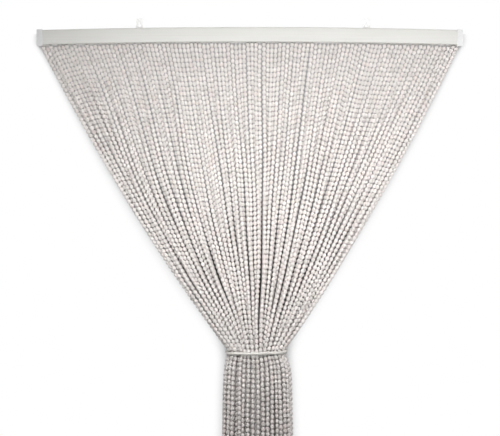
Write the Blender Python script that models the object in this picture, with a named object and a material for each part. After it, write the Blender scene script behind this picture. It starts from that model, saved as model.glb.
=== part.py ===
"""Chain fly curtain: beaded strands on a rail, drawn in by a tie to one bundle.

Units are metres. X runs along the rail, Z is up and the front looks towards -Y. The origin is on the flat
back of the rail, at the middle of its length and height. All of the part lies in front of the plane y = 0.
"""

import math

import bmesh
import bpy
import numpy as np

# Rail, an extruded channel that is open underneath
RAIL_WIDTH = 0.8925
RAIL_HEIGHT = 0.031
RAIL_DEPTH = 0.018
RAIL_WALL = 0.0014
RAIL_LIP = 0.004
RAIL_EDGE = 0.0012
RAIL_GROOVE_TOP = 0.0023
RAIL_GROOVE_HEIGHT = 0.001
RAIL_GROOVE_DEPTH = 0.0006
RAIL_BOW = 0.0062
RAIL_SEGMENTS = 16

# End caps, which close the rail and wrap its front and top
CAP_LENGTH = 0.0125
CAP_SKIN = 0.001
CAP_END = 0.0018
CAP_DROP = 0.0028
CAP_SLANT = 0.001
CAP_ROUND = 0.0016
CAP_TONGUE = 0.0026
CAP_CORNER_STEPS = 3

# Hanging lugs, white plates with a keyhole that stand on the rail
LUG_PLACES = {"lug_left": -0.232, "lug_right": 0.245}
LUG_WIDTH = 0.014
LUG_HEIGHT = 0.022
LUG_PLATE = 0.0022
LUG_FOOT_DEPTH = 0.010
LUG_FOOT_HEIGHT = 0.002
KEYHOLE_RADIUS = 0.0034
KEYHOLE_RISE = 0.0068
KEYHOLE_SLOT = 0.003
KEYHOLE_TOP = 0.0138
LUG_STEPS = 12
KEYHOLE_STEPS = 14
SLOT_STEPS = 6

# How far cutters run past a face, how deep joined pieces sink in, and the angle of a sharp edge
CUT_MARGIN = 0.01
SINK = 0.0005
SHARP_ANGLE = 30

# Carrier strip in the rail, with the strands' roots
STRIP_HEIGHT = 0.004
STRIP_BLOCK = 8
CLEARANCE = 0.0003

# Strands
STRAND_COUNT = 104
ROW_HALF = 0.4365
STRAND_LENGTH = 1.950
TIE_DROP = 0.6450
TIE_SHIFT = 0.0135
BUNDLE_SHIFT = 0.0025
ROW_DEPTH = -0.009
BUNDLE_DEPTH = -0.046

# Bundle at the tie, a rounded box of strand centres
BUNDLE_HALF = 0.0540
BUNDLE_THICK = 0.0355
BUNDLE_POWER = 2.6
FAN_CURVE = 0.31

# Strand layout: the strands touch at CONTACT, which is a little less near the rail, and push apart by steps
LEVELS = 48
LAYOUT_SEED = 3
CONTACT = 0.008
CONTACT_TOP = 0.91
CONTACT_GAIN = 0.54
OUTER_LEAN = 0.62
PUSH_SHARE = 0.28
DEPTH_JITTER = 0.002
PLACE_JITTER = 0.0004
DEPTH_PULL = 0.02
DEPTH_PULL_FADE = 0.9
LEVEL_ROUNDS = 50
EVEN_STEPS = 70
EVEN_ROUNDS = 4
EVEN_EASE = 0.5

# Partings between folds of strands. Each row has the number of strands to its left, its place lower down as
# a share of half the row's width, half its gap high up and lower down, and the shares of the way down where
# the lower gap opens and closes.
PARTINGS = (
    (5, -0.940, 0.0002, 0.0003, 0.45, 0.80),
    (11, -0.870, 0.0001, 0.0005, 0.45, 0.95),
    (19, -0.712, 0.0003, 0.0006, 0.30, 1.06),
    (23, -0.635, 0.0003, 0.0008, 0.40, 1.06),
    (27, -0.545, 0.0001, 0.0004, 0.30, 0.65),
    (31, -0.478, 0.0001, 0.0010, 0.58, 1.10),
    (35, -0.362, 0.0001, 0.0005, 0.45, 0.95),
    (40, -0.222, 0.0002, 0.0005, 0.22, 0.90),
    (43, -0.175, 0.0003, 0.0004, 0.22, 0.90),
    (48, -0.062, 0.0001, 0.0009, 0.50, 1.12),
    (51, -0.004, 0.0008, 0.0001, 0.20, 0.50),
    (55, 0.082, 0.0009, 0.0018, 0.72, 1.15),
    (60, 0.161, 0.0002, 0.0006, 0.42, 0.80),
    (63, 0.222, 0.0002, 0.0006, 0.42, 0.85),
    (67, 0.309, 0.0011, 0.0009, 0.50, 0.95),
    (71, 0.392, 0.0001, 0.0012, 0.42, 1.06),
    (77, 0.490, 0.0002, 0.0009, 0.42, 1.06),
    (81, 0.567, 0.0004, 0.0007, 0.30, 1.00),
    (85, 0.645, 0.0001, 0.0010, 0.42, 1.00),
    (88, 0.704, 0.0001, 0.0005, 0.30, 0.62),
    (91, 0.750, 0.0001, 0.0005, 0.32, 0.62),
    (94, 0.805, 0.0001, 0.0007, 0.42, 0.95),
    (97, 0.850, 0.0001, 0.0004, 0.50, 0.95),
    (99, 0.905, 0.0002, 0.0003, 0.25, 0.90),
)
# Sideways wave of a parting as a share of half the row's width, its turns on the way down, and its shift
# from one strand to the next
PARTING_WAVE = 0.005
WAVE_TURNS = 2.3
WAVE_SHIFT = 0.61
# Shares of the way down over which the partings open, move to their lower place and move back
PARTING_OPENS = (0.0, 0.05)
PARTING_MOVES = (0.10, 0.60)
PARTING_RETURNS = (0.75, 0.95)
PARTING_EASE = 0.12
# Shares of the way down over which the strands get free of their folds
FOLDS_END = (0.92, 1.04)
# Space that the strand centres keep from the wall
WALL_SPACE = 0.005

# Sections of each strand above the tie: level, half width of its four-sided section
UPPER_SECTIONS = (
    (8, 0.0038),
    (16, 0.0038),
    (24, 0.0038),
    (31, 0.0036),
    (37, 0.0034),
    (42, 0.0034),
    (45, 0.0033),
    (48, 0.0033),
)

# Sections below the tie: drop from the tie, half width
LOWER_SECTIONS = (
    (0.060, 0.0036),
    (0.420, 0.0038),
)
STRAND_HALF = 0.0038
# Half the height of the straight waist inside the tie
WAIST = 0.0015

# How the bundle opens below the tie: share across, share in depth, drop over which it opens
OPENING = (
    (0.21, 0.06, 0.018),
    (0.20, 0.08, 0.330),
)

# Tie, a plain cord once round the bundle
TIE_RADIUS = 0.00325
TIE_SEAT = 0.0041
TIE_TILT = 0.018
TIE_POINTS = 48

MATERIALS = {
    "rail_enamel": ((0.74, 0.75, 0.73), 0.42, 0.0),
    "cap_plastic": ((0.78, 0.78, 0.78), 0.40, 0.0),
    "lug_plastic": ((0.90, 0.90, 0.88), 0.35, 0.0),
    "bead_plastic": ((0.80, 0.77, 0.74), 0.38, 0.0),
    "tie_cord": ((0.86, 0.85, 0.80), 0.75, 0.0),
}


def clear_scene():
    for thing in list(bpy.data.objects):
        bpy.data.objects.remove(thing, do_unlink=True)


def make_material(name):
    color, roughness, metallic = MATERIALS[name]
    material = bpy.data.materials.new(name)
    material.use_nodes = True
    shader = material.node_tree.nodes["Principled BSDF"]
    shader.inputs["Base Color"].default_value = (*color, 1.0)
    shader.inputs["Roughness"].default_value = roughness
    shader.inputs["Metallic"].default_value = metallic
    return material


def add_object(name, mesh, material=None):
    thing = bpy.data.objects.new(name, mesh)
    bpy.context.collection.objects.link(thing)
    if material:
        mesh.materials.append(material)
    return thing


def mesh_from_bmesh(name, shape):
    bmesh.ops.recalc_face_normals(shape, faces=shape.faces)
    mesh = bpy.data.meshes.new(name)
    shape.to_mesh(mesh)
    shape.free()
    return mesh


def combine(target, mesh, operation):
    """Add or cut away a helper shape that is modelled in the target's own frame."""
    helper = add_object(mesh.name, mesh)
    helper.hide_render = True
    helper.display_type = "WIRE"
    helper.parent = target
    modifier = target.modifiers.new(mesh.name, "BOOLEAN")
    modifier.operation = operation
    modifier.solver = "EXACT"
    modifier.object = helper


def settle_shape(thing):
    """Apply the Booleans, remove their helpers and shade the result smooth up to the sharp edges."""
    bpy.context.view_layer.update()
    evaluated = thing.evaluated_get(bpy.context.evaluated_depsgraph_get())
    mesh = bpy.data.meshes.new_from_object(evaluated)
    helpers = [modifier.object for modifier in thing.modifiers]
    thing.modifiers.clear()
    for helper in helpers:
        bpy.data.objects.remove(helper, do_unlink=True)
    mesh.shade_smooth()
    mesh.set_sharp_from_angle(angle=math.radians(SHARP_ANGLE))
    thing.data = mesh


def box_mesh(name, low, high):
    shape = bmesh.new()
    bmesh.ops.create_cube(shape, size=1.0)
    for vert in shape.verts:
        for axis in range(3):
            vert.co[axis] = high[axis] if vert.co[axis] > 0 else low[axis]
    return mesh_from_bmesh(name, shape)


def prism_mesh(name, outline, low_y, high_y):
    """An outline of (x, z) points carried through in Y."""
    shape = bmesh.new()
    front = [shape.verts.new((x, low_y, z)) for x, z in outline]
    back = [shape.verts.new((x, high_y, z)) for x, z in outline]
    shape.faces.new(front)
    shape.faces.new(back)
    for i in range(len(outline)):
        j = (i + 1) % len(outline)
        shape.faces.new((front[i], front[j], back[j], back[i]))
    return mesh_from_bmesh(name, shape)


def arc(center, radius, start, end, steps):
    """Points of an arc in the XZ plane, angles in degrees."""
    angles = [math.radians(start + (end - start) * i / steps) for i in range(steps + 1)]
    return [(center[0] + radius * math.cos(a), center[1] + radius * math.sin(a)) for a in angles]


def bow(x):
    """Height of the gently bowed rail's middle line over x."""
    return -RAIL_BOW * (x / ROW_HALF) ** 2


def bow_angle(x):
    """Turn about Y that lays a piece along the rail at x."""
    return math.atan(2 * RAIL_BOW * x / ROW_HALF**2)


def rail_profile():
    """The channel's (y, z) outline, from the front lip round to the back lip and along the inside."""
    half = RAIL_HEIGHT / 2
    front = -RAIL_DEPTH
    inner = half - RAIL_WALL
    groove = half - RAIL_GROOVE_TOP
    return [
        (front + RAIL_LIP, -half),
        (front + RAIL_EDGE, -half),
        (front, -half + RAIL_EDGE),
        (front, groove - RAIL_GROOVE_HEIGHT),
        (front + RAIL_GROOVE_DEPTH, groove - RAIL_GROOVE_HEIGHT),
        (front + RAIL_GROOVE_DEPTH, groove),
        (front, groove),
        (front, half - RAIL_EDGE),
        (front + RAIL_EDGE, half),
        (0.0, half),
        (0.0, -half),
        (-RAIL_LIP, -half),
        (-RAIL_LIP, -inner),
        (-RAIL_WALL, -inner),
        (-RAIL_WALL, inner),
        (front + RAIL_WALL, inner),
        (front + RAIL_WALL, -inner),
        (front + RAIL_LIP, -inner),
    ]


def rail_end():
    """X of the rail's cut end inside the right cap."""
    return RAIL_WIDTH / 2 - CAP_END - CLEARANCE


def make_rail(material):
    profile = rail_profile()
    end = rail_end()
    shape = bmesh.new()
    rings = []
    for i in range(RAIL_SEGMENTS + 1):
        x = -end + 2 * end * i / RAIL_SEGMENTS
        lean = bow_angle(x)
        ring = [(x + z * math.sin(lean), y, bow(x) + z * math.cos(lean)) for y, z in profile]
        rings.append([shape.verts.new(point) for point in ring])
    for a, b in zip(rings[:-1], rings[1:]):
        for i in range(len(profile)):
            j = (i + 1) % len(profile)
            shape.faces.new((a[i], a[j], b[j], b[i]))
    shape.faces.new(rings[0])
    shape.faces.new(rings[-1])
    add_object("rail", mesh_from_bmesh("rail", shape), material)


def make_cap(name, side, material):
    """One end cap, modelled for the right end in its own frame and turned over for the left."""
    half = RAIL_HEIGHT / 2
    end = rail_end()
    inward = CAP_LENGTH - CAP_END - CLEARANCE
    outward = CAP_END + CLEARANCE
    top = half + CLEARANCE + CAP_SKIN
    bottom = -half - CAP_DROP
    front = -RAIL_DEPTH - CLEARANCE - CAP_SKIN
    outline = [(-inward, bottom), (-inward, top)]
    outline += arc((outward - CAP_SLANT - CAP_ROUND, top - CAP_ROUND), CAP_ROUND, 90, 0, CAP_CORNER_STEPS)
    outline += arc((outward - CAP_ROUND, bottom + CAP_ROUND), CAP_ROUND, 0, -90, CAP_CORNER_STEPS)
    outline = [(side * x, z) for x, z in outline]
    cap = add_object(name, prism_mesh(name, outline, front, 0.0), material)
    inset = RAIL_WALL + CLEARANCE
    spans = {
        "pocket": (
            (-inward - CUT_MARGIN, front + CAP_SKIN, bottom - CUT_MARGIN),
            (CLEARANCE, CUT_MARGIN, half + CLEARANCE),
        ),
        "tongue": (
            (CLEARANCE - CAP_TONGUE, -RAIL_DEPTH + inset, -half + inset),
            (CLEARANCE + SINK, -inset, half - inset),
        ),
    }
    for detail, operation in (("pocket", "DIFFERENCE"), ("tongue", "UNION")):
        low, high = spans[detail]
        xs = sorted((side * low[0], side * high[0]))
        combine(cap, box_mesh(f"{name}_{detail}", (xs[0], *low[1:]), (xs[1], *high[1:])), operation)
    settle_shape(cap)
    cap.location = (side * end, 0.0, bow(end))
    cap.rotation_euler.y = bow_angle(side * end)


def make_lug(name, x, material):
    """A hanging lug: an upright plate with a keyhole, on a foot that lies on the rail."""
    half = LUG_WIDTH / 2
    outline = [(-half, 0.0), (half, 0.0)] + arc((0.0, LUG_HEIGHT - half), half, 0, 180, LUG_STEPS)
    lug = add_object(name, prism_mesh(name, outline, -LUG_PLATE, 0.0), material)
    foot = box_mesh(f"{name}_foot", (-half, -LUG_FOOT_DEPTH, 0.0), (half, SINK - LUG_PLATE, LUG_FOOT_HEIGHT))
    slot_angle = math.degrees(math.asin(KEYHOLE_SLOT / 2 / KEYHOLE_RADIUS))
    keyhole = arc((0.0, KEYHOLE_RISE), KEYHOLE_RADIUS, 90 + slot_angle, 450 - slot_angle, KEYHOLE_STEPS)
    keyhole += arc((0.0, KEYHOLE_TOP - KEYHOLE_SLOT / 2), KEYHOLE_SLOT / 2, 0, 180, SLOT_STEPS)
    hole = prism_mesh(f"{name}_keyhole", keyhole, -LUG_PLATE - CUT_MARGIN, CUT_MARGIN)
    combine(lug, foot, "UNION")
    combine(lug, hole, "DIFFERENCE")
    settle_shape(lug)
    lug.location = (x, 0.0, RAIL_HEIGHT / 2 + bow(x) + CLEARANCE)
    lug.rotation_euler.y = bow_angle(x)


def fan(share):
    """Share of the way in to the tie at a share of the way down: a chain that carries its own weight."""
    return np.log(1 - FAN_CURVE * share) / np.log(1 - FAN_CURVE)


def smooth(share, start, end):
    """A smooth step from 0 at the start to 1 at the end."""
    part = np.clip((share - start) / (end - start), 0, 1)
    return part * part * (3 - 2 * part)


def parting_middles(share):
    """Middle of every parting at every level, as a share of half the row's width."""
    moved = smooth(share, *PARTING_MOVES) * (1 - smooth(share, *PARTING_RETURNS))
    middles = []
    for before, lower_place, *_ in PARTINGS:
        place = (2 * before - STRAND_COUNT) / (STRAND_COUNT - 1)
        turns = WAVE_TURNS * share + WAVE_SHIFT * before
        wave = PARTING_WAVE * np.sin(2 * np.pi * turns) * moved
        middles.append(place + (lower_place - place) * moved + wave)
    return np.array(middles)


def fold_drift(middles):
    """How far the partings on its two sides carry each strand along from one level to the next."""
    strand = np.arange(STRAND_COUNT) + 0.5
    before = [0, *[row[0] for row in PARTINGS], STRAND_COUNT]
    places = np.array([np.interp(strand, before, [-1, *level, 1]) for level in middles.T])
    return np.diff(places, axis=0, prepend=places[:1])


def fold_bounds(share, width, middles):
    """Least and greatest x, and greatest y, of every strand at every level, so that it stays in its fold."""
    opened = smooth(share, *PARTING_OPENS)
    free = smooth(share, *FOLDS_END) * BUNDLE_HALF
    least = np.tile(-width[:, None], STRAND_COUNT)
    greatest = np.tile(width[:, None], STRAND_COUNT)
    for (before, _, high_gap, low_gap, opens, closes), place in zip(PARTINGS, middles):
        lower = smooth(share, opens - PARTING_EASE, opens + PARTING_EASE)
        closed = smooth(share, closes - 2 * PARTING_EASE, closes)
        gap = opened * (CONTACT / 2 + (high_gap + (low_gap - high_gap) * lower) * (1 - closed)) - free
        least[:, before:] = (width * place + gap)[:, None]
        greatest[:, :before] = np.minimum(greatest[:, :before], (width * place - gap)[:, None])
    middle = (least + greatest) / 2
    room = -WALL_SPACE - ROW_DEPTH - (BUNDLE_DEPTH - ROW_DEPTH) * fan(share)
    return np.minimum(least, middle), np.maximum(greatest, middle), room[:, None]


def separate(x, y, width, contact, bounds, rounds, pull):
    """Push strands that are closer than the contact distance apart, and keep them in their folds."""
    apart = np.eye(STRAND_COUNT)
    power = BUNDLE_POWER * width / BUNDLE_HALF
    for _ in range(rounds):
        lean = np.cos(np.arctan(OUTER_LEAN * x / width))
        dx = (x[..., :, None] - x[..., None, :]) * (lean[..., :, None] + lean[..., None, :]) / 2
        dy = y[..., :, None] - y[..., None, :]
        distance = np.hypot(dx, dy) + apart
        push = np.clip(contact - distance, 0, None) * PUSH_SHARE
        x = x + (push * dx / distance).sum(-1)
        y = (y + (push * dy / distance).sum(-1)) * (1 - pull)
        x = np.clip(x, bounds[0], bounds[1])
        y = np.minimum(y, bounds[2])
        reach = (abs(x / width) ** power + abs(y / BUNDLE_THICK) ** power) ** (1 / power)
        x = x / np.maximum(1, reach)
        y = y / np.maximum(1, reach)
    return x, y


def strand_layout():
    """Offsets (x, y) of all strands from the row's own middle line, for each level from rail to tie.

    The strands start evenly spaced. Level by level the row is drawn in, and strands that touch move past
    each other in depth, so that the row folds into a bundle. Then all levels are evened out together.
    """
    random = np.random.RandomState(LAYOUT_SEED)
    even = np.linspace(-1, 1, STRAND_COUNT)
    y = random.uniform(-DEPTH_JITTER, DEPTH_JITTER, STRAND_COUNT)
    place = even + random.uniform(-PLACE_JITTER, PLACE_JITTER, STRAND_COUNT) / ROW_HALF
    share = np.linspace(0, 1, LEVELS + 1)
    width = ROW_HALF + (BUNDLE_HALF - ROW_HALF) * fan(share)
    contact = CONTACT * np.minimum(1, CONTACT_TOP + CONTACT_GAIN * share)
    middles = parting_middles(share)
    bounds = fold_bounds(share, width, middles)
    drift = fold_drift(middles)
    across = [even]
    depth = [0 * y]
    for level in range(1, LEVELS + 1):
        pull = DEPTH_PULL * (1 - DEPTH_PULL_FADE * share[level])
        x = (place + drift[level]) * width[level]
        limits = [values[level] for values in bounds]
        x, y = separate(x, y, width[level], contact[level], limits, LEVEL_ROUNDS, pull)
        place = x / width[level]
        across.append(place)
        depth.append(y)
    across = np.array(across)
    depth = np.array(depth)
    width = width[:, None]
    limits = [values[1:] for values in bounds]
    for step in range(EVEN_STEPS):
        ease = EVEN_EASE * (1 - step / EVEN_STEPS)
        across[1:-1] += ease * ((across[:-2] + across[2:]) / 2 - across[1:-1])
        depth[1:-1] += ease * ((depth[:-2] + depth[2:]) / 2 - depth[1:-1])
        x = across[1:] * width[1:]
        x, y = separate(x, depth[1:], width[1:], contact[1:, None, None], limits, EVEN_ROUNDS, 0)
        across[1:] = x / width[1:]
        depth[1:] = y
    return np.stack([across * width, depth], 2)


def opening(below):
    """How far the bundle has opened at a drop below its waist: across, in depth, and its drift."""
    shares = [1 - math.exp(-below / reach) for _, _, reach in OPENING]
    across = 1 + sum(row[0] * share for row, share in zip(OPENING, shares))
    depth = 1 + sum(row[1] * share for row, share in zip(OPENING, shares))
    return across, depth, BUNDLE_SHIFT * shares[0]


def strand_points(layout, index):
    """Section centres of one strand below its root, down to its end, each with the section's half width."""
    tie_z = -RAIL_HEIGHT / 2 - TIE_DROP
    root_x = layout[0, index, 0]
    root_z = -RAIL_HEIGHT / 2 + bow(root_x)
    line = [np.array((root_x, ROW_DEPTH, root_z))]
    for level in range(1, LEVELS + 1):
        share = level / LEVELS
        x = layout[level, index, 0] + TIE_SHIFT * fan(share)
        y = layout[level, index, 1] + ROW_DEPTH + (BUNDLE_DEPTH - ROW_DEPTH) * fan(share)
        line.append(np.array((x, y, root_z + (tie_z + WAIST - root_z) * share)))
    points = [(line[level], half) for level, half in UPPER_SECTIONS]
    points.append((line[-1] - np.array((0, 0, 2 * WAIST)), UPPER_SECTIONS[-1][1]))
    length = sum(np.linalg.norm(b - a) for a, b in zip(line[:-1], line[1:]))
    end_drop = STRAND_LENGTH - length - WAIST
    for drop, half in (*LOWER_SECTIONS, (end_drop, STRAND_HALF)):
        across, depth, drift = opening(drop - WAIST)
        x = layout[-1, index, 0] * across + TIE_SHIFT + drift
        y = layout[-1, index, 1] * depth + BUNDLE_DEPTH
        points.append((np.array((x, y, tie_z - drop)), half))
    return points


def add_strip(shape, layout):
    """The carrier strip with a four-sided hole in its underside for each root. Returns their corners."""
    pitch = layout[0, 1, 0] - layout[0, 0, 0]
    underside = -RAIL_HEIGHT / 2 + RAIL_WALL + CLEARANCE
    upper = underside + STRIP_HEIGHT
    back = -RAIL_WALL - CLEARANCE
    front = -RAIL_DEPTH + RAIL_WALL + CLEARANCE

    def vert(x, y, z):
        return shape.verts.new((x, y, z + bow(x)))

    edges = [layout[0, 0, 0] + pitch * (i - 0.5) for i in range(STRAND_COUNT + 1)]
    low = [(vert(x, back, underside), vert(x, front, underside)) for x in edges]
    high = {
        i: (vert(edges[i], back, upper), vert(edges[i], front, upper))
        for i in range(0, STRAND_COUNT + 1, STRIP_BLOCK)
    }
    roots = []
    for i in range(STRAND_COUNT):
        x = layout[0, i, 0]
        east = vert(x + STRAND_HALF, ROW_DEPTH, underside)
        north = vert(x, ROW_DEPTH + STRAND_HALF, underside)
        west = vert(x - STRAND_HALF, ROW_DEPTH, underside)
        south = vert(x, ROW_DEPTH - STRAND_HALF, underside)
        (a, d), (b, c) = low[i], low[i + 1]
        for face in (
            (a, b, north), (b, east, north), (b, c, east), (c, south, east),
            (c, d, south), (d, west, south), (d, a, west), (a, north, west),
        ):
            shape.faces.new(face)
        roots.append((east, north, west, south))
    for i in range(0, STRAND_COUNT, STRIP_BLOCK):
        j = i + STRIP_BLOCK
        for row in (0, 1):
            lower_row = [pair[row] for pair in low[i : j + 1]]
            shape.faces.new([*lower_row, high[j][row], high[i][row]])
        shape.faces.new((high[i][0], high[j][0], high[j][1], high[i][1]))
    for i in (0, STRAND_COUNT):
        shape.faces.new((low[i][0], low[i][1], high[i][1], high[i][0]))
    return roots


def make_strands(layout, material):
    """All strands, four-sided, fused at their roots to the carrier strip in the rail."""
    shape = bmesh.new()
    roots = add_strip(shape, layout)
    for index, ring in enumerate(roots):
        for center, half in strand_points(layout, index):
            x, y, z = center
            corners = ((x + half, y), (x, y + half), (x - half, y), (x, y - half))
            lower = [shape.verts.new((*corner, z)) for corner in corners]
            for i in range(4):
                j = (i + 1) % 4
                shape.faces.new((ring[i], ring[j], lower[j], lower[i]))
            ring = lower
        shape.faces.new(ring)
    add_object("strands", mesh_from_bmesh("strands", shape), material)


def make_tie(material):
    """A cord once round the waist of the bundle, level but for a slight tilt."""
    reach = TIE_SEAT + TIE_RADIUS
    curve = bpy.data.curves.new("tie", "CURVE")
    curve.dimensions = "3D"
    curve.bevel_depth = TIE_RADIUS
    curve.bevel_resolution = 2
    spline = curve.splines.new("POLY")
    spline.points.add(TIE_POINTS - 1)
    spline.use_cyclic_u = True
    for i, point in enumerate(spline.points):
        angle = 2 * math.pi * i / TIE_POINTS
        radius_share = abs(math.cos(angle)) ** BUNDLE_POWER + abs(math.sin(angle)) ** BUNDLE_POWER
        radius_share **= -1 / BUNDLE_POWER
        x = (BUNDLE_HALF + reach) * math.cos(angle) * radius_share
        y = (BUNDLE_THICK + reach) * math.sin(angle) * radius_share
        point.co = (x, y, TIE_TILT * x, 1.0)
    tie = add_object("tie", curve, material)
    tie.location = (TIE_SHIFT, BUNDLE_DEPTH, -RAIL_HEIGHT / 2 - TIE_DROP)


def main():
    clear_scene()
    materials = {name: make_material(name) for name in MATERIALS}
    make_rail(materials["rail_enamel"])
    make_cap("cap_left", -1, materials["cap_plastic"])
    make_cap("cap_right", 1, materials["cap_plastic"])
    for name, x in LUG_PLACES.items():
        make_lug(name, x, materials["lug_plastic"])
    make_strands(strand_layout(), materials["bead_plastic"])
    make_tie(materials["tie_cord"])


main()
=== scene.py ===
"""Looks of the chain fly curtain: the beads on every strand, the tie and the finish of rail, caps and lugs.

Units are metres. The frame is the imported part's: X along the rail, Z up, the front towards -Y, and the wall
at y = 0. The strands follow the same lines as the part's solids, from the same layout functions.
"""

import math

import bpy
import numpy as np
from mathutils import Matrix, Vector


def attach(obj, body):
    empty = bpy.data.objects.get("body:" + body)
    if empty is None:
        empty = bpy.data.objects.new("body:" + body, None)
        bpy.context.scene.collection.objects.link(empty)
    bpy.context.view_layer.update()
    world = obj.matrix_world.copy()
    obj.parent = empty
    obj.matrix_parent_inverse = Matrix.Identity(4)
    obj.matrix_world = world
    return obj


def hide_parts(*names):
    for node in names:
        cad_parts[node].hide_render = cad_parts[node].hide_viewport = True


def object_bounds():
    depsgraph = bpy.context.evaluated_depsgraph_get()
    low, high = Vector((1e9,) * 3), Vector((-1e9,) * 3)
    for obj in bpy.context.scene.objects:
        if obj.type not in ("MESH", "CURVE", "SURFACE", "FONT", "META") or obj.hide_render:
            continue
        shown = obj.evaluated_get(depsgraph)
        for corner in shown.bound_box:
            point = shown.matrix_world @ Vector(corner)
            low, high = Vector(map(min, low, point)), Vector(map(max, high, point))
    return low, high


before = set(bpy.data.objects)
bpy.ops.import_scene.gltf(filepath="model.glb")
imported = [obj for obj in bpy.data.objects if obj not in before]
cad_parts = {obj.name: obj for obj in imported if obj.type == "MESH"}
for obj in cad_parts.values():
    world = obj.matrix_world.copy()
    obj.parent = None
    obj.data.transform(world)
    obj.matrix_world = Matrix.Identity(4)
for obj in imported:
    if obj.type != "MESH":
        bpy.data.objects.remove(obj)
cad_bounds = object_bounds()

# Rail and strip, as in the part
RAIL_HEIGHT = 0.031
RAIL_DEPTH = 0.018
RAIL_WALL = 0.0014
RAIL_BOW = 0.0062
STRIP_HEIGHT = 0.004
CLEARANCE = 0.0003

# Strands, as in the part
STRAND_COUNT = 104
ROW_HALF = 0.4365
TIE_DROP = 0.6450
TIE_SHIFT = 0.0135
BUNDLE_SHIFT = 0.0025
ROW_DEPTH = -0.009
BUNDLE_DEPTH = -0.046
BUNDLE_HALF = 0.0540
BUNDLE_THICK = 0.0355
BUNDLE_POWER = 2.6
FAN_CURVE = 0.31
WAIST = 0.0015
STRAND_LENGTH = 1.950

# Strand layout, as in the part
LEVELS = 48
LAYOUT_SEED = 3
CONTACT = 0.008
CONTACT_TOP = 0.91
CONTACT_GAIN = 0.54
OUTER_LEAN = 0.62
PUSH_SHARE = 0.28
DEPTH_JITTER = 0.002
DEPTH_PULL = 0.02
DEPTH_PULL_FADE = 0.9
LEVEL_ROUNDS = 50
EVEN_STEPS = 70
EVEN_ROUNDS = 4
EVEN_EASE = 0.5
PLACE_JITTER = 0.0004

# Partings between folds of strands. Each row has the number of strands to its left, its place lower down as
# a share of half the row's width, half its gap high up and lower down, and the shares of the way down where
# the lower gap opens and closes.
PARTINGS = (
    (5, -0.940, 0.0002, 0.0003, 0.45, 0.80),
    (11, -0.870, 0.0001, 0.0005, 0.45, 0.95),
    (19, -0.712, 0.0003, 0.0006, 0.30, 1.06),
    (23, -0.635, 0.0003, 0.0008, 0.40, 1.06),
    (27, -0.545, 0.0001, 0.0004, 0.30, 0.65),
    (31, -0.478, 0.0001, 0.0010, 0.58, 1.10),
    (35, -0.362, 0.0001, 0.0005, 0.45, 0.95),
    (40, -0.222, 0.0002, 0.0005, 0.22, 0.90),
    (43, -0.175, 0.0003, 0.0004, 0.22, 0.90),
    (48, -0.062, 0.0001, 0.0009, 0.50, 1.12),
    (51, -0.004, 0.0008, 0.0001, 0.20, 0.50),
    (55, 0.082, 0.0009, 0.0018, 0.72, 1.15),
    (60, 0.161, 0.0002, 0.0006, 0.42, 0.80),
    (63, 0.222, 0.0002, 0.0006, 0.42, 0.85),
    (67, 0.309, 0.0011, 0.0009, 0.50, 0.95),
    (71, 0.392, 0.0001, 0.0012, 0.42, 1.06),
    (77, 0.490, 0.0002, 0.0009, 0.42, 1.06),
    (81, 0.567, 0.0004, 0.0007, 0.30, 1.00),
    (85, 0.645, 0.0001, 0.0010, 0.42, 1.00),
    (88, 0.704, 0.0001, 0.0005, 0.30, 0.62),
    (91, 0.750, 0.0001, 0.0005, 0.32, 0.62),
    (94, 0.805, 0.0001, 0.0007, 0.42, 0.95),
    (97, 0.850, 0.0001, 0.0004, 0.50, 0.95),
    (99, 0.905, 0.0002, 0.0003, 0.25, 0.90),
)
# Sideways wave of a parting as a share of half the row's width, its turns on the way down, and its shift
# from one strand to the next
PARTING_WAVE = 0.005
WAVE_TURNS = 2.3
WAVE_SHIFT = 0.61
# Shares of the way down over which the partings open, move to their lower place and move back
PARTING_OPENS = (0.0, 0.05)
PARTING_MOVES = (0.10, 0.60)
PARTING_RETURNS = (0.75, 0.95)
PARTING_EASE = 0.12
# Shares of the way down over which the strands get free of their folds
FOLDS_END = (0.92, 1.04)
# Space that the strand centres keep from the wall
WALL_SPACE = 0.005

# How the bundle opens below the tie: share across, share in depth, drop over which it opens
OPENING = (
    (0.21, 0.06, 0.018),
    (0.20, 0.08, 0.330),
)
LOWER_POINTS = 90

# Tie, as in the part, with its finer points
TIE_RADIUS = 0.00325
TIE_SEAT = 0.0041
TIE_TILT = 0.018
TIE_POINTS = 192
TIE_SIDES = 14
TIE_WAVES = ((7, 0.00030, 0.4), (13, 0.00022, 1.9), (29, 0.00014, 2.6))

# Beads: pitch along the strand, and each bead's outline as (share of its length, radius)
BEAD_PITCH = 0.0102
BEAD_COUNT = int(STRAND_LENGTH / BEAD_PITCH)
BEAD_SIDES = 8
BEAD_OUTLINE = ((0.0, 0.0012), (0.16, 0.0034), (0.5, 0.0048), (0.84, 0.0034))
BEAD_RADIUS = max(radius for _, radius in BEAD_OUTLINE)
THREAD_RADIUS = 0.0011
# The strands inside the bundle show only through gaps, so their beads are simpler, but for those at the
# open end
INNER_SIDES = 4
INNER_OUTLINE = ((0.0, 0.0018), (0.5, 0.0044))
OPEN_END_BEADS = 13
# The strands that show are searched from this many directions, in narrow columns across the bundle. The
# columns' step and half width are shares of a bead's radius.
VIEW_TURNS = 16
COLUMN_STEP = 0.5
COLUMN_REACH = 0.9
# Strands are joined by groups of neighbours, so that no piece is too heavy
GROUP_SIZE = 13
# What differs from strand to strand and from bead to bead: place of the first bead, pitch and size
BEAD_SEED = 11
START_DROP = -0.0015
START_SPREAD = 0.0075
PITCH_SPREAD = 0.018
SIZE_SPREAD = 0.02
# Sideways drift of the hanging strands: its reach, and its waves as (length, share)
WANDER = 0.0008
WANDER_WAVES = ((0.31, 0.6), (0.13, 0.3), (0.061, 0.1))

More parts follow.
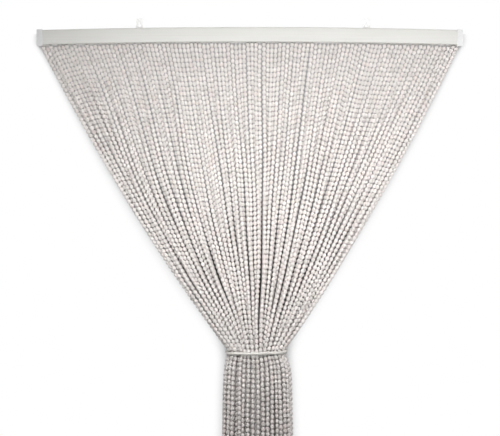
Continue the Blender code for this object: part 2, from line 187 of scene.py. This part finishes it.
# Camera, from the photo's frame of 500 by 436 pixels
PHOTO_WIDTH = 500
METRES_PER_PIXEL = 0.002103
CAMERA_DISTANCE = 3.0
VIEW_CENTER = (0.0004, -0.3838)
SENSOR = 36.0

# Lights: name, place, aim, size, power in watts and spread in degrees
LIGHTS = (
    ("upper", (0.19, -0.85, -0.10), (0.19, 0, -0.15), (1.4, 0.5), 1.75, 100),
    ("lower", (0.15, -0.85, -0.40), (0.15, 0, -0.42), (1.4, 0.5), 3.8, 100),
    ("top", (0.19, -0.60, 0.45), (0.19, 0, -0.35), (1.4, 0.3), 1.5, 90),
    ("foot", (0.25, -1.0, -1.50), (0.01, 0, -1.50), (1.0, 0.6), 3.0, 64),
)
# Glow of the studio from the front and from the wall's side, and how far round (as the Y of a direction) it
# has grown to the second
AMBIENT = 0.08
BACKLIGHT = 1.0
BACKLIGHT_TURN = 0.6

# Stage: the floor below the strands and the backdrop behind the rail
FLOOR_DROP = 0.06
FLOOR_SIZE = (9, 9)
FLOOR_GLOW = 0.6
BACKDROP_CENTER = (0, 0.0015, -0.9)
BACKDROP_SIZE = (7, 7)
# The backdrop's painted shadow close to the strands and further behind them, from how open it is within each
# reach, and its darkest painted tone by height as a share of the way from the tie up to the rail
NEAR_REACH = 0.05
NEAR_PAINTED_SHADOW = ((0.0, 0.0), (0.8, 1.0))
BEHIND_REACH = 0.25
BEHIND_PAINTED_SHADOW = ((0.28, 0.0), (0.48, 1.0))
DARKEST_PAINTED_SHADE = ((0.25, 0.04), (0.45, 0.16), (0.65, 0.30), (0.92, 0.40))
BACKDROP_SAMPLES = 16
# Painted shade on the beads: their colour is darkened where their neighbours hide them from the light, by how
# open they are within the reach
CREVICE_REACH = 0.010
PAINTED_CREVICE_SHADE = ((0.10, (0.10, 0.085, 0.075)), (0.37, (1.0, 1.0, 1.0)))
CREVICE_SAMPLES = 8

# Places of the colour sockets of a Mix node
MIX_FIRST = 6
MIX_SECOND = 7
MIX_RESULT = 2


def bow(x):
    """Height of the gently bowed rail's middle line over x."""
    return -RAIL_BOW * (x / ROW_HALF) ** 2


def fan(share):
    """Share of the way in to the tie at a share of the way down: a chain that carries its own weight."""
    return np.log(1 - FAN_CURVE * share) / np.log(1 - FAN_CURVE)


def smooth(share, start, end):
    """A smooth step from 0 at the start to 1 at the end."""
    part = np.clip((share - start) / (end - start), 0, 1)
    return part * part * (3 - 2 * part)


def parting_middles(share):
    """Middle of every parting at every level, as a share of half the row's width."""
    moved = smooth(share, *PARTING_MOVES) * (1 - smooth(share, *PARTING_RETURNS))
    middles = []
    for before, lower_place, *_ in PARTINGS:
        place = (2 * before - STRAND_COUNT) / (STRAND_COUNT - 1)
        turns = WAVE_TURNS * share + WAVE_SHIFT * before
        wave = PARTING_WAVE * np.sin(2 * np.pi * turns) * moved
        middles.append(place + (lower_place - place) * moved + wave)
    return np.array(middles)


def fold_drift(middles):
    """How far the partings on its two sides carry each strand along from one level to the next."""
    strand = np.arange(STRAND_COUNT) + 0.5
    before = [0, *[row[0] for row in PARTINGS], STRAND_COUNT]
    places = np.array([np.interp(strand, before, [-1, *level, 1]) for level in middles.T])
    return np.diff(places, axis=0, prepend=places[:1])


def fold_bounds(share, width, middles):
    """Least and greatest x, and greatest y, of every strand at every level, so that it stays in its fold."""
    opened = smooth(share, *PARTING_OPENS)
    free = smooth(share, *FOLDS_END) * BUNDLE_HALF
    least = np.tile(-width[:, None], STRAND_COUNT)
    greatest = np.tile(width[:, None], STRAND_COUNT)
    for (before, _, high_gap, low_gap, opens, closes), place in zip(PARTINGS, middles):
        lower = smooth(share, opens - PARTING_EASE, opens + PARTING_EASE)
        closed = smooth(share, closes - 2 * PARTING_EASE, closes)
        gap = opened * (CONTACT / 2 + (high_gap + (low_gap - high_gap) * lower) * (1 - closed)) - free
        least[:, before:] = (width * place + gap)[:, None]
        greatest[:, :before] = np.minimum(greatest[:, :before], (width * place - gap)[:, None])
    middle = (least + greatest) / 2
    room = -WALL_SPACE - ROW_DEPTH - (BUNDLE_DEPTH - ROW_DEPTH) * fan(share)
    return np.minimum(least, middle), np.maximum(greatest, middle), room[:, None]


def separate(x, y, width, contact, bounds, rounds, pull):
    """Push strands that are closer than the contact distance apart, and keep them in their folds."""
    apart = np.eye(STRAND_COUNT)
    power = BUNDLE_POWER * width / BUNDLE_HALF
    for _ in range(rounds):
        lean = np.cos(np.arctan(OUTER_LEAN * x / width))
        dx = (x[..., :, None] - x[..., None, :]) * (lean[..., :, None] + lean[..., None, :]) / 2
        dy = y[..., :, None] - y[..., None, :]
        distance = np.hypot(dx, dy) + apart
        push = np.clip(contact - distance, 0, None) * PUSH_SHARE
        x = x + (push * dx / distance).sum(-1)
        y = (y + (push * dy / distance).sum(-1)) * (1 - pull)
        x = np.clip(x, bounds[0], bounds[1])
        y = np.minimum(y, bounds[2])
        reach = (abs(x / width) ** power + abs(y / BUNDLE_THICK) ** power) ** (1 / power)
        x = x / np.maximum(1, reach)
        y = y / np.maximum(1, reach)
    return x, y


def strand_layout():
    """Offsets (x, y) of all strands from the row's own middle line, for each level from rail to tie.

    The strands start evenly spaced. Level by level the row is drawn in, and strands that touch move past
    each other in depth, so that the row folds into a bundle. Then all levels are evened out together.
    """
    random = np.random.RandomState(LAYOUT_SEED)
    even = np.linspace(-1, 1, STRAND_COUNT)
    y = random.uniform(-DEPTH_JITTER, DEPTH_JITTER, STRAND_COUNT)
    place = even + random.uniform(-PLACE_JITTER, PLACE_JITTER, STRAND_COUNT) / ROW_HALF
    share = np.linspace(0, 1, LEVELS + 1)
    width = ROW_HALF + (BUNDLE_HALF - ROW_HALF) * fan(share)
    contact = CONTACT * np.minimum(1, CONTACT_TOP + CONTACT_GAIN * share)
    middles = parting_middles(share)
    bounds = fold_bounds(share, width, middles)
    drift = fold_drift(middles)
    across = [even]
    depth = [0 * y]
    for level in range(1, LEVELS + 1):
        pull = DEPTH_PULL * (1 - DEPTH_PULL_FADE * share[level])
        x = (place + drift[level]) * width[level]
        limits = [values[level] for values in bounds]
        x, y = separate(x, y, width[level], contact[level], limits, LEVEL_ROUNDS, pull)
        place = x / width[level]
        across.append(place)
        depth.append(y)
    across = np.array(across)
    depth = np.array(depth)
    width = width[:, None]
    limits = [values[1:] for values in bounds]
    for step in range(EVEN_STEPS):
        ease = EVEN_EASE * (1 - step / EVEN_STEPS)
        across[1:-1] += ease * ((across[:-2] + across[2:]) / 2 - across[1:-1])
        depth[1:-1] += ease * ((depth[:-2] + depth[2:]) / 2 - depth[1:-1])
        x = across[1:] * width[1:]
        x, y = separate(x, depth[1:], width[1:], contact[1:, None, None], limits, EVEN_ROUNDS, 0)
        across[1:] = x / width[1:]
        depth[1:] = y
    return np.stack([across * width, depth], 2)


def wander(drop, phases):
    """Small sideways drift of a free strand at drops below its waist, from a few slow waves."""
    total = sum(
        share * np.sin(2 * np.pi * drop / length + phase)
        for (length, share), phase in zip(WANDER_WAVES, phases)
    )
    return WANDER * total * (1 - np.exp(-drop / OPENING[0][2]))


def strand_path(layout, index, random):
    """Points along one strand, from its root under the rail down through the tie to past its end."""
    tie_z = -RAIL_HEIGHT / 2 - TIE_DROP
    share = np.linspace(0, 1, LEVELS + 1)
    root_z = -RAIL_HEIGHT / 2 + bow(layout[0, index, 0])
    upper = np.stack([
        layout[:, index, 0] + TIE_SHIFT * fan(share),
        layout[:, index, 1] + ROW_DEPTH + (BUNDLE_DEPTH - ROW_DEPTH) * fan(share),
        root_z + (tie_z + WAIST - root_z) * share,
    ], 1)
    drop = np.linspace(0, STRAND_LENGTH - TIE_DROP, LOWER_POINTS)
    opened = [1 - np.exp(-drop / reach) for _, _, reach in OPENING]
    open_x = 1 + sum(row[0] * part for row, part in zip(OPENING, opened))
    open_y = 1 + sum(row[1] * part for row, part in zip(OPENING, opened))
    phases = random.uniform(0, 2 * np.pi, (2, len(WANDER_WAVES)))
    lower = np.stack([
        layout[-1, index, 0] * open_x + TIE_SHIFT + BUNDLE_SHIFT * opened[0] + wander(drop, phases[0]),
        layout[-1, index, 1] * open_y + BUNDLE_DEPTH + wander(drop, phases[1]),
        tie_z - WAIST - drop,
    ], 1)
    return np.concatenate([upper, lower])


def neck_points(path, start, pitch):
    """The points between beads, one bead pitch apart along a strand's path, up to its end."""
    steps = np.linalg.norm(np.diff(path, axis=0), axis=1)
    along = np.concatenate([[0], np.cumsum(steps)])
    wanted = np.unique(np.minimum(start + pitch * np.arange(BEAD_COUNT + 1), along[-1]))
    return np.stack([np.interp(wanted, along, path[:, axis]) for axis in range(3)], 1)


def ring_frames(axis):
    """Two directions square to each axis, the first as near to X as it can be."""
    side = np.array((1.0, 0.0, 0.0)) - axis * axis[..., :1]
    side /= np.linalg.norm(side, axis=-1, keepdims=True)
    return side, np.cross(axis, side)


def bead_rings(necks, outline, sides, sizes):
    """Rings of points round a run of beads: each bead straight between its two necks."""
    axis = np.diff(necks, axis=0)
    unit = axis / np.linalg.norm(axis, axis=1, keepdims=True)
    joint = unit.copy()
    joint[1:] += unit[:-1]
    joint /= np.linalg.norm(joint, axis=1, keepdims=True)
    angle = 2 * np.pi * np.arange(sides) / sides
    rings = np.empty((len(unit), len(outline), sides, 3))
    for place, (share, radius) in enumerate(outline):
        side, up = ring_frames(joint if place == 0 else unit)
        reach = radius * (sizes if place else np.ones(len(unit)))
        around = np.cos(angle)[:, None] * side[:, None] + np.sin(angle)[:, None] * up[:, None]
        rings[:, place] = (necks[:-1] + share * axis)[:, None] + reach[:, None, None] * around
    side, up = ring_frames(unit[-1])
    around = np.cos(angle)[:, None] * side + np.sin(angle)[:, None] * up
    last = necks[-1] + outline[0][1] * around
    return np.concatenate([rings.reshape(-1, sides, 3), last[None]])


class TubeMesh:
    """Collects closed tubes, each a list of rings with the same number of points, for one mesh."""

    def __init__(self):
        self.points = []
        self.faces = []
        self.creases = []
        self.count = 0

    def add(self, rings, crease_step=None):
        """Add a tube. Every ring at the crease step, counted from the first, gets a sharp crease."""
        number, sides = rings.shape[:2]
        index = self.count + np.arange(number * sides).reshape(number, sides)
        beside = np.roll(index, -1, axis=1)
        quads = np.stack([index[:-1], beside[:-1], beside[1:], index[1:]], 2)
        self.faces += quads.reshape(-1, 4).tolist()
        self.faces.append(index[0, ::-1].tolist())
        self.faces.append(index[-1].tolist())
        creased = np.zeros((number, sides), bool)
        if crease_step:
            creased[::crease_step] = True
        self.creases.append(creased.reshape(-1))
        self.points.append(rings.reshape(-1, 3))
        self.count += number * sides

    def add_loop(self, rings):
        """Add a ring-shaped tube, closed on itself."""
        number, sides = rings.shape[:2]
        index = self.count + np.arange(number * sides).reshape(number, sides)
        beside = np.roll(index, -1, axis=1)
        ahead = np.roll(index, -1, axis=0)
        quads = np.stack([index, beside, np.roll(beside, -1, axis=0), ahead], 2)
        self.faces += quads.reshape(-1, 4).tolist()
        self.creases.append(np.zeros(number * sides, bool))
        self.points.append(rings.reshape(-1, 3))
        self.count += number * sides

    def build(self, name):
        """Make one object of all the tubes, smooth but for its sharp creases."""
        mesh = bpy.data.meshes.new(name)
        mesh.from_pydata(np.concatenate(self.points).tolist(), [], self.faces)
        mesh.shade_smooth()
        creased = np.concatenate(self.creases)
        ends = np.empty(len(mesh.edges) * 2, np.int32)
        mesh.edges.foreach_get("vertices", ends)
        sharp = creased[ends].reshape(-1, 2).all(1)
        mesh.attributes.new("sharp_edge", "BOOLEAN", "EDGE").data.foreach_set("value", sharp)
        piece = bpy.data.objects.new(name, mesh)
        bpy.context.scene.collection.objects.link(piece)
        weighted = piece.modifiers.new("weighted_normals", "WEIGHTED_NORMAL")
        weighted.keep_sharp = True
        return piece


def add_piece(piece, material, slot, *nodes):
    """Give a piece its material and its place in the frame."""
    piece.data.materials.append(material)
    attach(piece, "root")
    if nodes:
        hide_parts(*nodes)
    return piece


def seen_strands(layout):
    """The strands that are nearest to the eye from some direction round the bundle at the tie."""
    x, y = layout[-1].T
    seen = set()
    for turn in 2 * np.pi * np.arange(VIEW_TURNS) / VIEW_TURNS:
        across = x * math.cos(turn) + y * math.sin(turn)
        depth = y * math.cos(turn) - x * math.sin(turn)
        for place in np.arange(across.min(), across.max(), COLUMN_STEP * BEAD_RADIUS):
            column = np.flatnonzero(abs(across - place) < COLUMN_REACH * BEAD_RADIUS)
            if len(column):
                seen.add(int(column[np.argmin(depth[column])]))
    return seen


def thread_rings(top):
    """The short thread between the carrier strip and a strand's first bead."""
    upper = -RAIL_HEIGHT / 2 + RAIL_WALL + CLEARANCE + bow(top[0]) + STRIP_HEIGHT / 4
    angle = 2 * np.pi * np.arange(INNER_SIDES) / INNER_SIDES
    around = THREAD_RADIUS * np.stack([np.cos(angle), -np.sin(angle), 0 * angle], 1)
    high = np.array((top[0], top[1], upper)) + around
    low = top - (0, 0, THREAD_RADIUS) + around
    return np.stack([high, low])


def make_strands(layout, material):
    """All beads, in groups of neighbouring strands."""
    random = np.random.RandomState(BEAD_SEED)
    tie_z = -RAIL_HEIGHT / 2 - TIE_DROP
    seen = seen_strands(layout)
    for first in range(0, STRAND_COUNT, GROUP_SIZE):
        tubes = TubeMesh()
        for index in range(first, first + GROUP_SIZE):
            path = strand_path(layout, index, random)
            pitch = BEAD_PITCH * (1 + random.uniform(-PITCH_SPREAD, PITCH_SPREAD))
            necks = neck_points(path, START_DROP + random.uniform(0, START_SPREAD), pitch)
            sizes = 1 + random.uniform(-SIZE_SPREAD, SIZE_SPREAD, BEAD_COUNT)
            count = len(necks) - 1
            runs = [(0, count, BEAD_OUTLINE, BEAD_SIDES)]
            if index not in seen:
                below = int(np.argmax(necks[:, 2] < tie_z - 2 * TIE_RADIUS - BEAD_PITCH))
                above_end = BEAD_COUNT - OPEN_END_BEADS
                runs = [
                    (0, below, BEAD_OUTLINE, BEAD_SIDES),
                    (below, above_end, INNER_OUTLINE, INNER_SIDES),
                    (above_end, count, BEAD_OUTLINE, BEAD_SIDES),
                ]
            for start, end, outline, sides in runs:
                rings = bead_rings(necks[start : end + 1], outline, sides, sizes[start:end])
                tubes.add(rings, len(outline))
            tubes.add(thread_rings(necks[0]))
        name = f"beads_{first // GROUP_SIZE + 1}"
        add_piece(tubes.build(name), material, "bead_plastic", "strands")


def make_strip(layout, material):
    """The carrier strip inside the rail, from which the strands hang."""
    pitch = layout[0, 1, 0] - layout[0, 0, 0]
    low = -RAIL_HEIGHT / 2 + RAIL_WALL + CLEARANCE
    high = low + STRIP_HEIGHT
    front = -RAIL_DEPTH + RAIL_WALL + CLEARANCE
    back = -RAIL_WALL - CLEARANCE
    edge = STRIP_HEIGHT / 8
    outline = [
        (front + edge, low), (back - edge, low), (back, low + edge), (back, high - edge),
        (back - edge, high), (front + edge, high), (front, high - edge), (front, low + edge),
    ]
    rings = []
    for i in range(STRAND_COUNT + 1):
        x = layout[0, 0, 0] + pitch * (i - 0.5)
        rings.append([(x, y, z + bow(x)) for y, z in outline])
    tubes = TubeMesh()
    tubes.add(np.array(rings))
    strip = tubes.build("carrier_strip")
    strip.data.set_sharp_from_angle(angle=math.radians(30))
    add_piece(strip, material, "bead_plastic", "strands")


def make_tie(material):
    """The cord round the bundle, pressed a little unevenly against the beads."""
    reach = TIE_SEAT + TIE_RADIUS
    angle = 2 * np.pi * np.arange(TIE_POINTS) / TIE_POINTS
    share = (abs(np.cos(angle)) ** BUNDLE_POWER + abs(np.sin(angle)) ** BUNDLE_POWER) ** (-1 / BUNDLE_POWER)
    uneven = sum(size * np.sin(count * angle + phase) for count, size, phase in TIE_WAVES)
    x = (BUNDLE_HALF + reach + uneven) * np.cos(angle) * share
    y = (BUNDLE_THICK + reach + uneven) * np.sin(angle) * share
    z = TIE_TILT * x + np.roll(uneven, TIE_POINTS // 5)
    line = np.stack([x + TIE_SHIFT, y + BUNDLE_DEPTH, z - RAIL_HEIGHT / 2 - TIE_DROP], 1)
    along = np.roll(line, -1, axis=0) - np.roll(line, 1, axis=0)
    along /= np.linalg.norm(along, axis=1, keepdims=True)
    outward = np.cross(along, (0.0, 0.0, 1.0))
    outward /= np.linalg.norm(outward, axis=1, keepdims=True)
    up = np.cross(along, outward)
    turn = 2 * np.pi * np.arange(TIE_SIDES) / TIE_SIDES
    thick = TIE_RADIUS + np.roll(uneven, TIE_POINTS // 3) / 2
    around = np.cos(turn)[:, None] * outward[:, None] + np.sin(turn)[:, None] * up[:, None]
    tubes = TubeMesh()
    tubes.add_loop(line[:, None] + thick[:, None, None] * around)
    add_piece(tubes.build("tie_cord"), material, "tie_cord", "tie")


class Nodes:
    """Short calls for building one material's node tree."""

    def __init__(self, name, roughness):
        self.material = bpy.data.materials.new(name)
        self.material.use_nodes = True
        self.tree = self.material.node_tree
        self.shader = self.tree.nodes["Principled BSDF"]
        self.shader.inputs["Roughness"].default_value = roughness
        self.place = self.add("ShaderNodeTexCoord").outputs["Object"]

    def add(self, kind, **values):
        """A new node with its settings."""
        node = self.tree.nodes.new(kind)
        for name, value in values.items():
            setattr(node, name, value)
        return node

    def link(self, source, target):
        self.tree.links.new(source, target)

    def noise(self, scale, detail=2.0, stretch=(1, 1, 1)):
        """Soft noise from 0 to 1, with its own scale on each axis."""
        mapping = self.add("ShaderNodeMapping")
        mapping.inputs["Scale"].default_value = stretch
        self.link(self.place, mapping.inputs["Vector"])
        node = self.add("ShaderNodeTexNoise")
        node.inputs["Scale"].default_value = scale
        node.inputs["Detail"].default_value = detail
        self.link(mapping.outputs["Vector"], node.inputs["Vector"])
        return node.outputs["Fac"]

    def openness(self, reach, samples):
        """How open the surface is within the reach, from 0 to 1."""
        node = self.add("ShaderNodeAmbientOcclusion", samples=samples)
        node.inputs["Distance"].default_value = reach
        return node.outputs["AO"]

    def ramp(self, source, *stops):
        """Colours or greys at places from 0 to 1."""
        node = self.add("ShaderNodeValToRGB")
        elements = node.color_ramp.elements
        while len(elements) < len(stops):
            elements.new(0.5)
        for element, (place, color) in zip(elements, stops):
            element.position = place
            element.color = (*color, 1) if isinstance(color, tuple) else (color, color, color, 1)
        self.link(source, node.inputs["Fac"])
        return node.outputs["Color"]

    def mix(self, kind, first, second):
        """Blend two colour outputs in full."""
        node = self.add("ShaderNodeMix", data_type="RGBA", blend_type=kind)
        node.inputs["Factor"].default_value = 1.0
        self.link(first, node.inputs[MIX_FIRST])
        self.link(second, node.inputs[MIX_SECOND])
        return node.outputs[MIX_RESULT]

    def finish(self, color, roughness=None, bump=None, bump_distance=0.0001, bump_strength=0.3):
        """Link colour, roughness and bump to the shader, and give back the material."""
        self.link(color, self.shader.inputs["Base Color"])
        if roughness:
            self.link(roughness, self.shader.inputs["Roughness"])
        if bump:
            node = self.add("ShaderNodeBump")
            node.inputs["Strength"].default_value = bump_strength
            node.inputs["Distance"].default_value = bump_distance
            self.link(bump, node.inputs["Height"])
            self.link(node.outputs["Normal"], self.shader.inputs["Normal"])
        return self.material


def bead_material():
    """Off-white moulded beads, each strand a shade apart, with patches that are a little pink or grey, and
    painted shade in the crevices between neighbours.
    """
    nodes = Nodes("bead_plastic", 0.48)
    island = nodes.add("ShaderNodeNewGeometry").outputs["Random Per Island"]
    strand = nodes.ramp(island, (0.0, (0.655, 0.62, 0.595)), (0.35, (0.708, 0.677, 0.655)),
                        (0.7, (0.735, 0.70, 0.68)), (1.0, (0.708, 0.655, 0.635)))
    patch = nodes.ramp(nodes.noise(70, 2), (0.32, (0.93, 0.92, 0.92)), (0.52, (1, 1, 1)),
                       (0.72, (1.0, 0.95, 0.94)))
    unshaded = nodes.mix("MULTIPLY", strand, patch)
    # Painted shade: the colour is darkened where neighbouring beads close in, by how open the surface is
    open_share = nodes.openness(CREVICE_REACH, CREVICE_SAMPLES)
    color = nodes.mix("MULTIPLY", unshaded, nodes.ramp(open_share, *PAINTED_CREVICE_SHADE))
    rough = nodes.ramp(nodes.noise(260, 2), (0.3, 0.42), (0.7, 0.56))
    return nodes.finish(color, rough, nodes.noise(1400, 1), 0.00004, 0.25)


def rail_material():
    """Satin enamel on a drawn channel, with faint lines along it."""
    nodes = Nodes("rail_enamel", 0.40)
    drawn = nodes.noise(900, 2, (0.004, 1, 1))
    lines = nodes.ramp(drawn, (0.3, (0.61, 0.605, 0.578)), (0.7, (0.66, 0.655, 0.627)))
    patches = nodes.ramp(nodes.noise(9, 3, (1, 1, 3)), (0.35, (0.97, 0.972, 0.965)), (0.65, (1.0, 1.0, 1.0)))
    color = nodes.mix("MULTIPLY", lines, patches)
    rough = nodes.ramp(nodes.noise(60, 2, (0.05, 1, 1)), (0.3, 0.36), (0.7, 0.46))
    return nodes.finish(color, rough, nodes.noise(1600, 2), 0.00003, 0.2)


def cap_material():
    """Plain moulded plastic with a fine grain."""
    nodes = Nodes("cap_plastic", 0.40)
    color = nodes.ramp(nodes.noise(220, 3), (0.3, (0.655, 0.655, 0.66)), (0.7, (0.71, 0.71, 0.71)))
    rough = nodes.ramp(nodes.noise(500, 2), (0.3, 0.35), (0.7, 0.45))
    return nodes.finish(color, rough, nodes.noise(2600, 2), 0.00005, 0.3)


def lug_material():
    """Milky white plastic."""
    nodes = Nodes("lug_plastic", 0.35)
    color = nodes.ramp(nodes.noise(160, 2), (0.3, (0.80, 0.80, 0.785)), (0.7, (0.84, 0.84, 0.825)))
    rough = nodes.ramp(nodes.noise(400, 2), (0.3, 0.30), (0.7, 0.40))
    return nodes.finish(color, rough, nodes.noise(2200, 1), 0.00004, 0.25)


def tie_material():
    """Smooth cream cord with a fine twist."""
    nodes = Nodes("tie_cord", 0.72)
    color = nodes.ramp(nodes.noise(240, 3), (0.3, (0.64, 0.62, 0.58)), (0.7, (0.71, 0.69, 0.655)))
    return nodes.finish(color, None, nodes.noise(1500, 2, (1, 1, 2.5)), 0.0002, 0.5)


def floor_material():
    """Pale paint that glows a little, as the lamps are aimed at the curtain and leave the floor dim."""
    nodes = Nodes("floor_paint", 0.75)
    color = nodes.ramp(nodes.noise(3, 3), (0.3, (0.80, 0.80, 0.79)), (0.7, (0.83, 0.83, 0.82)))
    nodes.link(color, nodes.shader.inputs["Emission Color"])
    nodes.shader.inputs["Emission Strength"].default_value = FLOOR_GLOW
    return nodes.finish(color)


def backdrop_material():
    """A bright white glow with painted shadow behind the strands, darker towards the tie and none above the
    rail, seen from its front only.
    """
    nodes = Nodes("backdrop_painted_shadow", 1.0)
    height = nodes.add("ShaderNodeSeparateXYZ")
    nodes.link(nodes.place, height.inputs["Vector"])
    # Painted shadow: the glow is darkened where the strands close off the backdrop, near them and further
    # behind
    near = nodes.ramp(nodes.openness(NEAR_REACH, BACKDROP_SAMPLES), *NEAR_PAINTED_SHADOW)
    behind = nodes.ramp(nodes.openness(BEHIND_REACH, BACKDROP_SAMPLES), *BEHIND_PAINTED_SHADOW)
    share_up = nodes.add("ShaderNodeMapRange")
    share_up.inputs["From Min"].default_value = -TIE_DROP
    share_up.inputs["From Max"].default_value = 0
    nodes.link(height.outputs["Z"], share_up.inputs["Value"])
    # Painted shade: the darkest the painted shadow may get, darker towards the tie
    darkest = nodes.ramp(share_up.outputs["Result"], *DARKEST_PAINTED_SHADE)
    shaded = nodes.mix("LIGHTEN", nodes.mix("MULTIPLY", near, behind), darkest)
    # No painted shadow above the rail
    above_rail = nodes.ramp(height.outputs["Z"], (0.0, 0.0), (0.001, 1.0))
    glow = nodes.add("ShaderNodeEmission")
    nodes.link(nodes.mix("LIGHTEN", shaded, above_rail), glow.inputs["Color"])
    one_sided = nodes.add("ShaderNodeMixShader")
    nodes.link(nodes.add("ShaderNodeNewGeometry").outputs["Backfacing"], one_sided.inputs["Fac"])
    nodes.link(glow.outputs["Emission"], one_sided.inputs[1])
    nodes.link(nodes.add("ShaderNodeBsdfTransparent").outputs["BSDF"], one_sided.inputs[2])
    nodes.link(one_sided.outputs["Shader"], nodes.tree.nodes["Material Output"].inputs["Surface"])
    nodes.tree.nodes.remove(nodes.shader)
    return nodes.material


def plane(name, center, size, upright):
    """A flat stage surface, level or upright and facing the front."""
    mesh = bpy.data.meshes.new(name)
    half_x, half_v = size[0] / 2, size[1] / 2
    corners = [(-half_x, -half_v), (half_x, -half_v), (half_x, half_v), (-half_x, half_v)]
    if upright:
        points = [(center[0] + u, center[1], center[2] + v) for u, v in corners]
    else:
        points = [(center[0] + u, center[1] + v, center[2]) for u, v in corners]
    mesh.from_pydata(points, [], [(0, 1, 2, 3)])
    thing = bpy.data.objects.new(name, mesh)
    bpy.context.scene.collection.objects.link(thing)
    return thing


def make_stage():
    """A pale floor, and a backdrop that neither lights nor shades the curtain."""
    floor = plane("floor", (0, 0, cad_bounds[0].z - FLOOR_DROP), FLOOR_SIZE, False)
    floor.data.materials.append(floor_material())
    floor.visible_diffuse = False
    floor.visible_glossy = False
    backdrop = plane("backdrop", BACKDROP_CENTER, BACKDROP_SIZE, True)
    backdrop.data.materials.append(backdrop_material())
    backdrop.visible_diffuse = False
    backdrop.visible_glossy = False
    backdrop.visible_transmission = False
    backdrop.visible_shadow = False


def add_light(name, location, target, size, power, spread):
    """A soft area lamp, hidden from the camera."""
    data = bpy.data.lights.new(name, "AREA")
    data.shape = "RECTANGLE"
    data.size, data.size_y = size
    data.energy = power
    data.spread = math.radians(spread)
    light = bpy.data.objects.new(name, data)
    light.location = location
    direction = Vector(target) - Vector(location)
    light.rotation_euler = direction.to_track_quat("-Z", "Y").to_euler()
    light.visible_camera = False
    bpy.context.scene.collection.objects.link(light)


def make_lights():
    """The lamps, and a studio that is white to the camera and glows softly on the curtain."""
    for row in LIGHTS:
        add_light(*row)
    world = bpy.data.worlds.new("studio")
    bpy.context.scene.world = world
    world.use_nodes = True
    nodes = world.node_tree.nodes
    link = world.node_tree.links.new
    direction = nodes.new("ShaderNodeSeparateXYZ")
    link(nodes.new("ShaderNodeTexCoord").outputs["Generated"], direction.inputs["Vector"])
    around = nodes.new("ShaderNodeMapRange")
    around.inputs["From Max"].default_value = BACKLIGHT_TURN
    around.inputs["To Min"].default_value = AMBIENT
    around.inputs["To Max"].default_value = BACKLIGHT
    link(direction.outputs["Y"], around.inputs["Value"])
    strength = nodes.new("ShaderNodeMapRange")
    link(nodes.new("ShaderNodeLightPath").outputs["Is Camera Ray"], strength.inputs["Value"])
    link(around.outputs["Result"], strength.inputs["To Min"])
    shade = nodes["Background"]
    link(strength.outputs["Result"], shade.inputs["Strength"])
    shade.inputs["Color"].default_value = (1, 1, 1, 1)


def make_camera():
    """The camera, straight in front of the curtain as in the photo."""
    data = bpy.data.cameras.new("camera")
    camera = bpy.data.objects.new("camera", data)
    bpy.context.scene.collection.objects.link(camera)
    camera.location = (VIEW_CENTER[0], -CAMERA_DISTANCE, VIEW_CENTER[1])
    camera.rotation_euler = (math.pi / 2, 0, 0)
    data.sensor_width = SENSOR
    data.lens = SENSOR * CAMERA_DISTANCE / (PHOTO_WIDTH * METRES_PER_PIXEL)
    bpy.context.scene.camera = camera


make_camera()
make_lights()
make_stage()
layout = strand_layout()
beads = bead_material()
make_strands(layout, beads)
make_strip(layout, beads)
make_tie(tie_material())
finishes = {"rail": rail_material(), "cap": cap_material(), "lug": lug_material()}
for name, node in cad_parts.items():
    if name not in ("strands", "tie"):
        node.material_slots[0].material = finishes[name.split("_")[0]]
bpy.context.scene.view_settings.view_transform = "Standard"
